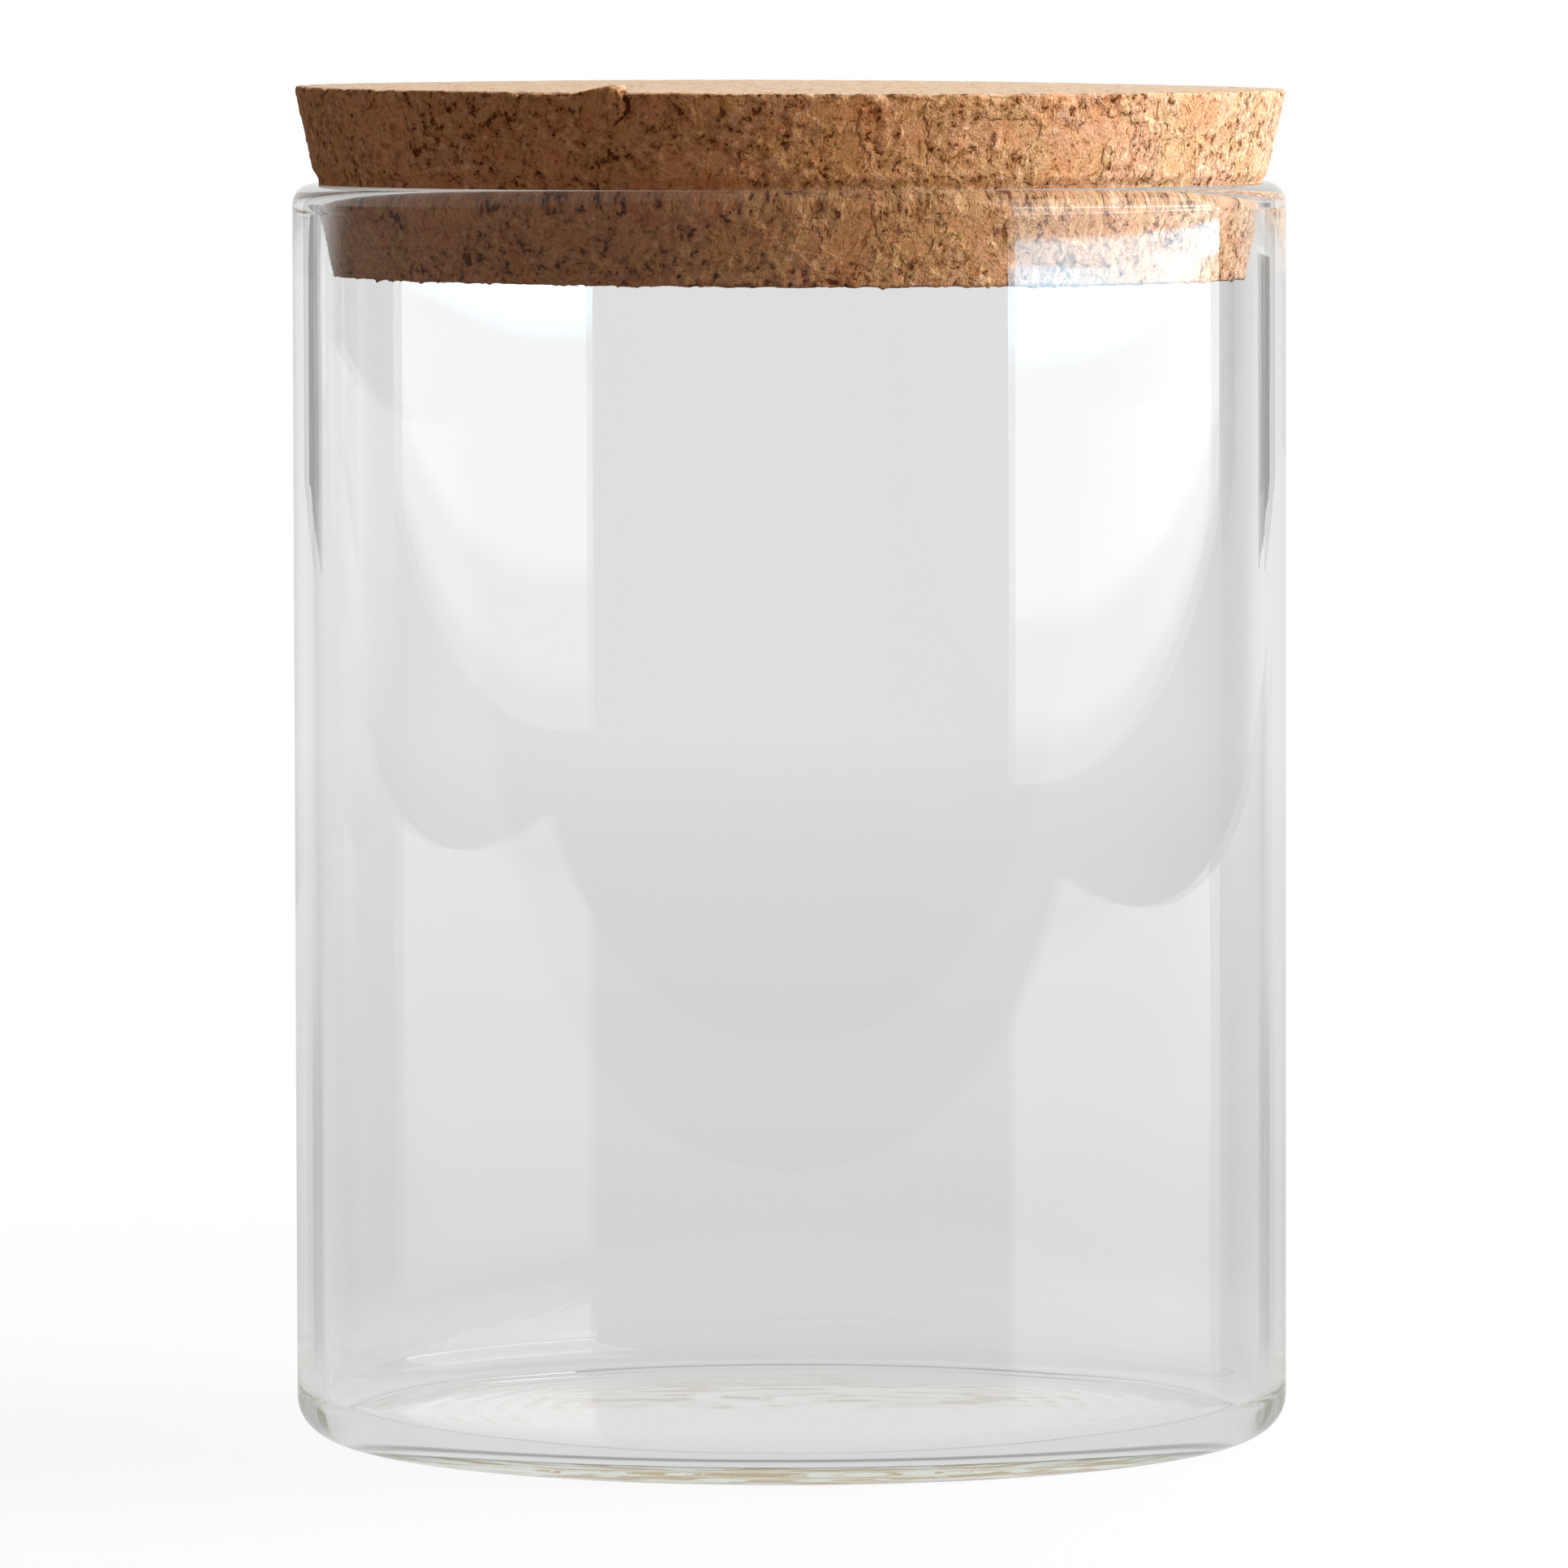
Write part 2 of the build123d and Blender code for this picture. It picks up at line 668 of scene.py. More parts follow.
@dataclass(frozen=True)
class CorkFinish:
    """Pressed cork granules: smooth cut faces with crumbs and torn holes between them.

    The mesh says where crumbs are loose, where a hole is torn and where the top is level from
    sanding. The level top is painted paler, for light that falls on it from above.
    Noises and the granules are given in millimetres, and a Range is where a step starts and ends.
    """

    granule_mm: float = 3.8
    bend_mm: Cloud = Cloud(1.8, 3.0, 0.65)
    shake: float = 1.3
    stir: float = 0.6
    sway_mm: Cloud = Cloud(3.6, 3.0, 0.6)
    sway: float = 4.5
    fibre_mm: Cloud = Cloud(0.50, 3.0, 0.62)
    fibre_stretch: Triple = (1.0, 1.0, 0.18)
    patch_mm: Cloud = Cloud(2.2, 4.0, 0.6)
    coarse_mm: Cloud = Cloud(1.0, 5.0, 0.74)
    fine_mm: Cloud = Cloud(0.28, 2.0, 0.6)
    bits_mm: Cloud = Cloud(1.5, 3.0, 0.6)
    bits_shift: Triple = (31.0, 7.0, 3.0)
    rough_patch: float = 1.3
    rough_hue: float = 0.5
    rough_edge: Range = (0.20, 0.80)
    gap_edge: Range = (0.36, 0.44)
    gap_share: Pair = (0.85, 0.10)
    dash_edge: Range = (0.34, 0.42)
    dash_share: Pair = (0.6, 0.40)
    tear_edge: Range = (0.50, 0.80)
    tear_share: Pair = (1.5, 1.4)
    pale_edge: Range = (0.55, 0.68)
    pale_share: Pair = (0.8, 0.05)
    ochre_edge: Range = (0.61, 0.65)
    russet_edge: Range = (0.35, 0.39)
    coarse_speck: Range = (0.38, 0.44)
    fibre_speck: Range = (0.36, 0.44)
    fine_speck: Range = (0.34, 0.40)
    crumb: Colour = (0.82, 0.60, 0.37)
    crumb_share: float = 0.55
    ochre: Colour = (0.84, 0.66, 0.30)
    ochre_share: float = 0.4
    russet: Colour = (0.66, 0.33, 0.17)
    russet_share: float = 0.5
    # The level top's colour: a face smooth from sanding, painted paler for light from above.
    sanded_lit_top: Colour = (0.76, 0.67, 0.50)
    lit_top_share: float = 0.88
    speck_share: float = 0.75
    tone_share: Triple = (0.35, 0.9, 0.15)
    granules: tuple[tuple[float, Colour], ...] = (
        (0.00, (0.60, 0.340, 0.190)),
        (0.25, (0.70, 0.410, 0.230)),
        (0.45, (0.66, 0.460, 0.250)),
        (0.65, (0.74, 0.470, 0.300)),
        (0.80, (0.65, 0.440, 0.280)),
        (1.00, (0.79, 0.560, 0.350)),
    )
    coarse_shade: Pair = (1.2, 0.45)
    fibre_shade: float = 0.65
    fine_shade: float = 0.70
    mean_shade: float = 1.03
    hole_shade: float = 0.64
    # Powers that redden the painted shade as it darkens.
    green_depth: float = 1.60
    blue_depth: float = 2.40
    relief: float = 0.36e-3
    coarse_relief: float = 0.25
    fibre_relief: float = 0.25
    fine_relief: float = 0.22
    hole_relief: float = 0.6
    sanded_relief: float = 0.7
    dryness: float = 0.90
    sheen: float = 0.25

    def material(self) -> bpy.types.Material:
        """Builds the material.

        Returns:
            Matt cork whose colour and relief come from its granules, fibres, crumbs and holes, with
            painted shade in its relief and holes and its level top painted paler.
        """
        material, graph = new_graph("pressed_cork")
        point = graph.scaled(graph.place(), 1 / MM)
        loose, torn, level = (graph.attribute(name) for name in ("loose", "torn", "level"))

        # Granules with bent edges, each with its own tone, hue and direction of fibres.
        bend = graph.bend(point, self.bend_mm)
        shaken = graph.moved(point, bend, self.shake)
        stirred = graph.moved(point, bend, self.stir)
        swayed = graph.moved(shaken, graph.bend(point, self.sway_mm), self.sway)
        granule = graph.node(
            "ShaderNodeTexVoronoi",
            {"feature": "F1"},
            {"Vector": swayed, "Scale": 1 / self.granule_mm},
        ).outputs["Color"]
        tone, turn, hue = graph.split(granule)
        axis = graph.vector("SUBTRACT", granule, GREY)
        turned = graph.node(
            "ShaderNodeVectorRotate",
            {"rotation_type": "AXIS_ANGLE"},
            {"Vector": shaken, "Axis": axis, "Angle": turn * (4 * math.pi)},
        ).outputs[0]
        fibre = graph.noise(graph.vector("MULTIPLY", turned, self.fibre_stretch), self.fibre_mm)
        patch = graph.noise(point, self.patch_mm)
        coarse = graph.noise(stirred, self.coarse_mm)
        fine = graph.noise(point, self.fine_mm)
        bits = graph.noise(graph.vector("ADD", point, self.bits_shift), self.bits_mm)

        # Where the crumbs are loose, and the gaps, dashes and tears that read as holes.
        rough = loose + (patch - 0.5) * self.rough_patch + (hue - 0.5) * self.rough_hue
        rough = rough.over(*self.rough_edge)
        more, least = self.gap_share
        gap = coarse.under(*self.gap_edge) * (rough * more + least)
        less, most = self.dash_share
        dash = fibre.under(*self.dash_edge) * (1.0 - rough * less) * most
        by_mesh, by_noise = self.tear_share
        tear = (torn * by_mesh + (coarse - 0.5) * by_noise).over(*self.tear_edge)
        hole = gap.larger(dash).larger(tear)
        more, least = self.pale_share
        pale = coarse.over(*self.pale_edge) * (rough * more + least)

        # The colour: granules, pale crumbs, ochre and russet bits, painted shade, and the level top
        # painted paler for light from above.
        by_granule, by_patch, start = self.tone_share
        spot = (tone + hue) * by_granule + (patch - 0.5) * by_patch + start
        stops = {"stops": list(self.granules)}
        colour = graph.node("ShaderNodeValToRGB", stops, {0: spot}).outputs[0]
        colour = graph.mix(pale * self.crumb_share, colour, self.crumb)
        colour = graph.mix(bits.over(*self.ochre_edge) * self.ochre_share, colour, self.ochre)
        colour = graph.mix(bits.under(*self.russet_edge) * self.russet_share, colour, self.russet)
        more, least = self.coarse_shade
        # Painted shade: the colour darkens with the relief's noises, part tone and part shade of
        # the crumbs, and most in the holes and cracks.
        shade = (coarse - 0.5) * (rough * more + least) + (fibre - 0.5) * self.fibre_shade
        shade = shade + (fine - 0.5) * self.fine_shade + self.mean_shade
        shade = shade * (1.0 - hole * self.hole_shade)
        # The painted shade turns redder as it darkens.
        deep = graph.join(shade, shade**self.green_depth, shade**self.blue_depth)
        colour = graph.mix(1.0, colour, deep, "MULTIPLY")
        speck = fibre.under(*self.fibre_speck).larger(coarse.under(*self.coarse_speck))
        speck = speck.larger(fine.under(*self.fine_speck))
        # Painted light: the level top is made paler, except in its specks.
        bare = level * (self.lit_top_share - speck * self.speck_share)
        colour = graph.mix(bare, colour, self.sanded_lit_top)

        height = coarse * (rough + self.coarse_relief) + fibre * self.fibre_relief
        height = height + fine * self.fine_relief - hole * self.hole_relief
        surface = graph.shader(
            Shader.PRINCIPLED,
            Base_Color=colour,
            Roughness=self.dryness,
            Specular_IOR_Level=self.sheen,
            Normal=graph.bump(height, self.relief, 1.0 - level * self.sanded_relief),
        )
        graph.output(surface)
        return material


@dataclass
class GlassJar:
    """The jar: a drawn tube closed by a thick floor, with a fire-polished lip.

    The wall is drawn as thick as the photo's edges show it, inwards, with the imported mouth.
    """

    wall: float = 2.44 * MM
    base_corner: float = 5.0 * MM
    corner_height: float = 4.2 * MM
    floor_thickness: float = 2.5 * MM
    floor_corner: float = 3.0 * MM
    floor_moat: float = 4.0 * MM
    floor_rise: float = 0.6 * MM
    foot_ring: float = 7.0 * MM
    push_up: float = 0.7 * MM
    lip_outer: float = 2.15 * MM
    lip_inner: float = 0.35 * MM
    bead_inset: float = 0.06 * MM
    bead_depth: float = 1.0 * MM
    bead_runout: float = 1.95 * MM
    mouth_shift: float = 0.12 * MM
    mouth_from: Range = (122.9 * MM, 124.2 * MM)
    segments: int = 320
    seed: int = 11
    swirl_centre: Pair = (-2.4 * MM, 4.0 * MM)
    swirl_height: float = 0.065 * MM
    swirl_width: float = 8.0 * MM
    swirl_pitch: float = 1.3 * MM
    ring_height: float = 0.008 * MM
    ring_pitch: float = 3.1 * MM
    ring_bend: float = 3.0
    ring_bend_size: float = 16 * MM
    rings_from: Range = (14 * MM, 30 * MM)
    wave_height: float = 0.022 * MM
    wave_size: float = 17 * MM
    wall_wave: float = 0.0015 * MM
    wall_wave_size: float = 7 * MM
    wall_wave_stretch: float = 0.02

    def __post_init__(self) -> None:
        """Reads the jar's overall size from the frame."""
        low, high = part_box("glass_jar")
        self.radius = min(high.x, high.y, -low.x, -low.y)
        self.height = high.z

    def outline(self) -> Outline:
        """Draws the section. The last number of each run is its count of points.

        Returns:
            The outline, from the middle of the underside round to the middle of the floor.
        """
        inner = self.radius - self.wall
        mouth = inner - self.bead_inset
        crown = mouth + self.lip_inner
        shoulder = self.height - self.lip_outer
        foot = self.radius - self.base_corner
        flat = inner - self.floor_corner
        floor_edge = self.floor_thickness + self.floor_corner
        bead = self.height - self.bead_depth
        drawn = Outline(0.0, self.push_up)
        drawn.ease(foot - self.foot_ring, 0.0, 52, upright=False)
        drawn.line(foot, 0.0, 8)
        drawn.arc((foot, self.corner_height), (self.base_corner, self.corner_height), -90, 90, 22)
        drawn.line(self.radius, shoulder, 24)
        drawn.arc((crown, shoulder), (self.radius - crown, self.lip_outer), 0, 90, 18)
        drawn.arc((crown, self.height - self.lip_inner), (self.lip_inner,) * 2, 90, 90, 10)
        drawn.line(mouth, bead, 4)
        drawn.ease(inner, bead - self.bead_runout, 14, upright=True)
        drawn.line(inner, floor_edge, 24)
        drawn.arc((flat, floor_edge), (self.floor_corner,) * 2, 0, -90, 18)
        drawn.line(flat - self.floor_moat, self.floor_thickness, 8)
        drawn.ease(0.0, self.floor_thickness + self.floor_rise, 72, upright=False)
        return drawn

    def relief(self, places: np.ndarray, normals: np.ndarray) -> np.ndarray:
        """Works out how far the melted surfaces wander from their true form.

        Args:
            places: The points of the true form.
            normals: The surface directions there.

        Returns:
            The distance that each point moves along its normal.
        """
        noise = SolidNoise(self.seed)
        across = np.hypot(places[:, 0], places[:, 1])
        level = np.abs(normals[:, 2]) ** 4 * (across < self.radius - self.base_corner)
        away = places[:, :2] - np.array(self.swirl_centre)
        reach = np.hypot(away[:, 0], away[:, 1])
        angle = np.arctan2(away[:, 1], away[:, 0])
        swirl = bell(reach, self.swirl_width) * np.sin(angle + reach / self.swirl_pitch)
        bent = self.ring_bend * noise.at(places, self.ring_bend_size)
        rings = np.sin(across * (2 * math.pi / self.ring_pitch) + bent)
        rings *= step_up(across, *self.rings_from)
        waves = noise.rough(places * (1, 1, 0), self.wave_size, 2)
        floor = self.swirl_height * swirl + self.ring_height * rings + self.wave_height * waves
        drawn = noise.rough(places * (1, 1, self.wall_wave_stretch), self.wall_wave_size, 2)
        upright = 1 - np.abs(normals[:, 2])
        return level * floor * (across > 0) + upright * self.wall_wave * drawn

    def build(self) -> bpy.types.Object:
        """Makes the jar and dresses it.

        Returns:
            The jar's object.
        """
        rings = Rings()
        rings.follow(self.outline(), lambda radius, height: self.segments)
        places = np.vstack(rings.places)
        normals = np.vstack(rings.normals)
        moved = places + normals * self.relief(places, normals)[:, None]
        moved[:, 2] = np.maximum(moved[:, 2], 0.0)
        inside_of = self.radius - self.lip_outer + self.lip_inner
        inside = np.hypot(places[:, 0], places[:, 1]) < inside_of
        moved[:, 0] += self.mouth_shift * inside * step_up(places[:, 2], *self.mouth_from)
        across = np.maximum(np.hypot(moved[:, 0], moved[:, 1]), TINY)
        moved[:, :2] *= np.minimum(1.0, self.radius / across)[:, None]
        made = rings.mesh("jar_glass", moved)
        made.data.materials.append(GlassFinish().material())
        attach(made, Body.JAR.value)
        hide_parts("glass_jar")
        LOG.info("jar_glass: %d points", rings.size)
        return made


@dataclass
class CorkStopper:
    """The stopper: a tapered disc of pressed cork, pinched where the lip holds it."""

    taper: float = math.radians(11.2)
    rim_height: float = 126.5 * MM
    rim_radius: float = 47.76 * MM
    squeezed_radius: float = 47.36 * MM
    pinch_height: float = 1.6 * MM
    dome: float = 0.65 * MM
    lean: float = math.radians(0.33)
    nod: float = math.radians(0.15)
    shift: float = 0.08 * MM
    top_edge: float = 0.22 * MM
    bottom_edge: float = 0.4 * MM
    segments: int = 1024
    side_step: float = 0.29 * MM
    flat_step: float = 0.60 * MM
    fine_margin: float = 4 * MM
    coarsen_within: float = 0.86
    fewest: int = 16
    top_gap: float = 0.03 * MM
    pit_count: int = 420
    pit_width: Range = (0.14 * MM, 0.26 * MM)
    hole_count: int = 16
    hole_dents: int = 4
    hole_spread: float = 0.28 * MM
    hole_width: Range = (0.22 * MM, 0.36 * MM)
    pit_deep: Range = (0.6, 1.2)
    pit_reach: float = 2.0
    pit_anywhere: float = 0.05
    torn_depth: float = 0.26 * MM
    torn_crack: float = 1.6
    flake_from: float = math.radians(-25.5)
    flake_to: float = math.radians(-19.6)
    flake_depth: float = 4.2 * MM
    flake_fade: float = 0.25
    flake_inset: float = 0.01
    flake_reach: float = 2.2 * MM
    flake_out: float = 0.16 * MM
    flake_up: float = 0.62 * MM
    flake_edge: Pair = (0.6, 0.5)
    flake_edge_size: float = 1.4 * MM
    flake_up_depth: float = 1.0 * MM
    crack_sway: float = 0.028
    crack_pitch: float = 1.3 * MM
    crack_slant: float = 0.010
    crack_aside: float = 0.006
    crack_width: float = 0.14 * MM
    crack_depth: float = 0.9 * MM
    crack_rag: Pair = (0.2, 0.8)
    crack_rag_size: float = 0.7 * MM
    grain_depth: float = 0.05 * MM
    grain_size: float = 1.0 * MM
    lump_size: float = 3.5 * MM
    crumb_depth: float = 0.26 * MM
    patch_size: float = 5.0 * MM
    patch_edge: Range = (0.12, 0.34)
    patch_share: float = 0.8
    crumbly_size: float = 2.8 * MM
    crumbly_edge: Range = (-0.14, 0.12)
    crumbly_bend: Pair = (1.5 * MM, 0.8 * MM)
    bite_depth: float = 0.9 * MM
    bite_more: float = 0.05
    bite_size: float = 1.7 * MM
    bite_width: float = 0.55 * MM
    bite_fade: Range = (-35 * MM, 5 * MM)
    hang_depth: float = 0.9 * MM
    hang_less: float = 0.10
    hang_size: float = 0.6 * MM
    hang_width: float = 0.45 * MM
    held_width: float = 2.2 * MM
    held_past: float = 40 * MM
    held_swell: float = 0.02 * MM
    held_share: float = 0.3
    flat_edge: Range = (0.7, 0.95)
    flat_calm: float = 0.75
    level_edge: Range = (0.75, 0.99)
    level_from: Range = (0.2 * MM, 0.8 * MM)
    level_flake: Range = (0.01 * MM, 0.06 * MM)
    seed: int = 5

    def __post_init__(self) -> None:
        """Reads the stopper's height from the frame."""
        low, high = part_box("cork_lid")
        self.bottom = low.z
        self.top = high.z - self.top_gap
        self.limit = high.z

    def cone(self, height: float) -> float:
        """Gives the radius of the plain cone at a height."""
        return self.rim_radius + (height - self.rim_height) * math.tan(self.taper)

    def outline(self) -> Outline:
        """Draws the section. The last number of each run is its count of points.

        Returns:
            The outline, from the middle of the underside to the middle of the top.
        """
        lean = math.tan(self.taper)
        squeeze = self.rim_height - (self.rim_radius - self.squeezed_radius) / lean
        pinch = self.rim_height + self.pinch_height
        flat_radius = self.cone(self.bottom) - self.bottom_edge
        high_radius = self.cone(self.top)
        flat_steps = round(high_radius / self.flat_step)
        edge = self.bottom + self.bottom_edge
        drawn = Outline(0.0, self.bottom)
        drawn.line(flat_radius, self.bottom, flat_steps)
        drawn.arc((flat_radius, edge), (self.bottom_edge,) * 2, -90, 90, 3)
        for height in (squeeze, self.rim_height):
            steps = round((height - drawn.points[-1][1]) / self.side_step)
            drawn.line(self.squeezed_radius, height, steps)
        drawn.ease(self.cone(pinch), pinch, 6, upright=True)
        shoulder = self.top - self.top_edge
        drawn.line(high_radius, shoulder, round((shoulder - pinch) / self.side_step))
        drawn.arc((high_radius - self.top_edge, shoulder), (self.top_edge,) * 2, 0, 90, 3)
        drawn.line(high_radius - self.fine_margin, self.top, 12)
        drawn.line(0.0, self.top, flat_steps)
        return drawn

    def count_at(self, radius: float, height: float) -> int:
        """Counts a ring's points, fewer towards the middle of the flat faces.

        Args:
            radius: The ring's radius.
            height: Its height, which changes nothing.

        Returns:
            The count: a ring has as many points as its neighbour, half or double.
        """
        count = self.segments
        limit = self.coarsen_within * self.rim_radius
        while radius < limit and count > self.fewest:
            count //= 2
            limit /= 2
        return count

    def pits(self, places: np.ndarray, loose: np.ndarray) -> np.ndarray:
        """Tears small holes over the surface, most of them where the crumbs are loose.

        Args:
            places: The points of the plain form.
            loose: How loose the crumbs are at each point.

        Returns:
            The depth of each point below the form.
        """
        rng = np.random.default_rng(self.seed)
        tree = KDTree(len(places))
        for index, place in enumerate(places):
            tree.insert(place, index)
        tree.balance()
        depth = np.zeros(len(places))
        spread = self.pit_anywhere + loose**2
        hearts = rng.choice(len(places), self.pit_count, p=spread / spread.sum())
        dents = [(places[heart], rng.uniform(*self.pit_width)) for heart in hearts]
        for heart in hearts[: self.hole_count]:
            for _ in range(self.hole_dents):
                aside = rng.normal(0, self.hole_spread, 3)
                dents.append((places[heart] + aside, rng.uniform(*self.hole_width)))
        for heart, width in dents:
            deep = width * rng.uniform(*self.pit_deep)
            for _, index, away in tree.find_range(heart, self.pit_reach * width):
                depth[index] = max(depth[index], deep * math.exp(-((away / width) ** 2)))
        return depth

    def flake(self, places: np.ndarray, outer: np.ndarray) -> tuple[np.ndarray, np.ndarray]:
        """Lifts one flake of the side at the top edge, with a torn crack at its right.

        Args:
            places: The points of the plain form.
            outer: Their distances from the axis.

        Returns:
            How far each point moves outward, and how far upward.
        """
        angle = np.arctan2(places[:, 0], -places[:, 1])
        down = self.top - places[:, 2]
        right = self.flake_to + self.crack_sway * np.sin(down / self.crack_pitch)
        right -= self.crack_slant * down / MM
        inside = step_up(angle, self.flake_from, right - self.flake_inset) * (angle < right)
        fade = 1 - step_up(down, self.flake_fade * self.flake_depth, self.flake_depth)
        fade *= outer > self.cone(self.top) - self.flake_reach
        lift = inside * fade
        aside = (angle - right - self.crack_aside) * self.rim_radius
        crack = bell(aside, self.crack_width) * fade
        least, more = self.crack_rag
        crack *= least + more * SolidNoise(self.seed).at(places, self.crack_rag_size)
        least, more = self.flake_edge
        edge = least + more * SolidNoise(self.seed + 1).at(places, self.flake_edge_size)
        up = self.flake_up * lift * edge * bell(down, self.flake_up_depth)
        return self.flake_out * lift - self.crack_depth * crack, up

    def shape(
        self, places: np.ndarray, normals: np.ndarray
    ) -> tuple[np.ndarray, dict[str, np.ndarray]]:
        """Breaks the plain form up into granules, crumbs and holes, and seats it in the mouth.

        Args:
            places: The points of the plain form.
            normals: The surface directions there.

        Returns:
            The final places, and the values that the finish reads at each point.
        """
        # Each noise is read at a distance of its own, so that no two of them are alike.
        noise = SolidNoise(self.seed)
        patch = noise.rough(places + 3.0, self.patch_size, 3)
        crumbly = noise.rough(noise.warp(places, *self.crumbly_bend) + 5.0, self.crumbly_size, 4)
        patchy = self.patch_share * step_up(patch, *self.patch_edge)
        loose = np.maximum(step_up(crumbly, *self.crumbly_edge), patchy)
        pits = self.pits(places, loose)
        grain = noise.rough(places, self.grain_size, 2)
        grain = self.grain_depth * (grain + noise.rough(places + 9.0, self.lump_size, 2))
        crumbs = loose * self.crumb_depth * noise.rough(places + 1.0, self.grain_size, 3)

        # Bites out of the top edge, and the flake, but no swelling where the lip holds the cork.
        outer = np.hypot(places[:, 0], places[:, 1])
        to_top = np.hypot(outer - self.cone(self.top), places[:, 2] - self.top)
        to_bottom = np.hypot(outer - self.cone(self.bottom), places[:, 2] - self.bottom)
        ragged = np.clip(noise.rough(places + 7.0, self.bite_size, 4) + self.bite_more, 0, 1)
        ragged *= self.bite_depth * step_up(-places[:, 1], *self.bite_fade)
        bitten = ragged * bell(to_top, self.bite_width)
        out, up = self.flake(places, outer)
        flat = step_up(np.abs(normals[:, 2]), *self.flat_edge) * (places[:, 2] > self.rim_height)
        shift = (grain + crumbs - pits) * (1 - self.flat_calm * flat) - bitten
        held = bell(places[:, 2] - self.rim_height, self.held_width) * (outer > self.held_past)
        shift = np.where(held > self.held_share, np.minimum(shift, self.held_swell), shift) + out
        moved = places + normals * shift[:, None]
        hanging = np.clip(noise.rough(places + 17.0, self.hang_size, 3) - self.hang_less, 0, 1)
        moved[:, 2] += up - self.hang_depth * hanging * bell(to_bottom, self.hang_width)

        # The seat: a small lean, nod and shift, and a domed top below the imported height.
        seat = moved - np.array([0.0, 0.0, self.rim_height])
        moved[:, 2] += seat[:, 1] * math.sin(self.nod) - seat[:, 0] * math.sin(self.lean)
        moved[:, 0] += seat[:, 2] * math.sin(self.lean) + self.shift
        lifted = step_up(places[:, 2], self.rim_height + self.pinch_height, self.top)
        moved[:, 2] -= self.dome * lifted * np.minimum(1.0, outer / self.cone(self.top)) ** 2
        moved[:, 2] = np.minimum(moved[:, 2], self.limit)

        # Where the top is level: the finish paints it paler there, for light from above.
        level = step_up(normals[:, 2], *self.level_edge) * step_up(to_top, *self.level_from)
        level *= 1 - step_up(np.abs(out), *self.level_flake)
        # How torn each point is, in pits and the crack: the finish paints shade there.
        torn = np.clip(np.maximum(pits, -self.torn_crack * out) / self.torn_depth, 0, 1)
        return moved, {"loose": loose, "torn": torn, "level": level}

    def build(self) -> bpy.types.Object:
        """Makes the stopper and dresses it.

        Returns:
            The stopper's object.
        """
        rings = Rings()
        rings.follow(self.outline(), self.count_at)
        moved, values = self.shape(np.vstack(rings.places), np.vstack(rings.normals))
        made = rings.mesh("stopper_cork", moved)
        for name, value in values.items():
            held = made.data.attributes.new(name, "FLOAT", "POINT")
            held.data.foreach_set("value", value.astype(np.float32))
        made.data.materials.append(CorkFinish().material())
        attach(made, Body.LID.value)
        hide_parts("cork_lid")
        LOG.info("stopper_cork: %d points", rings.size)
        return made


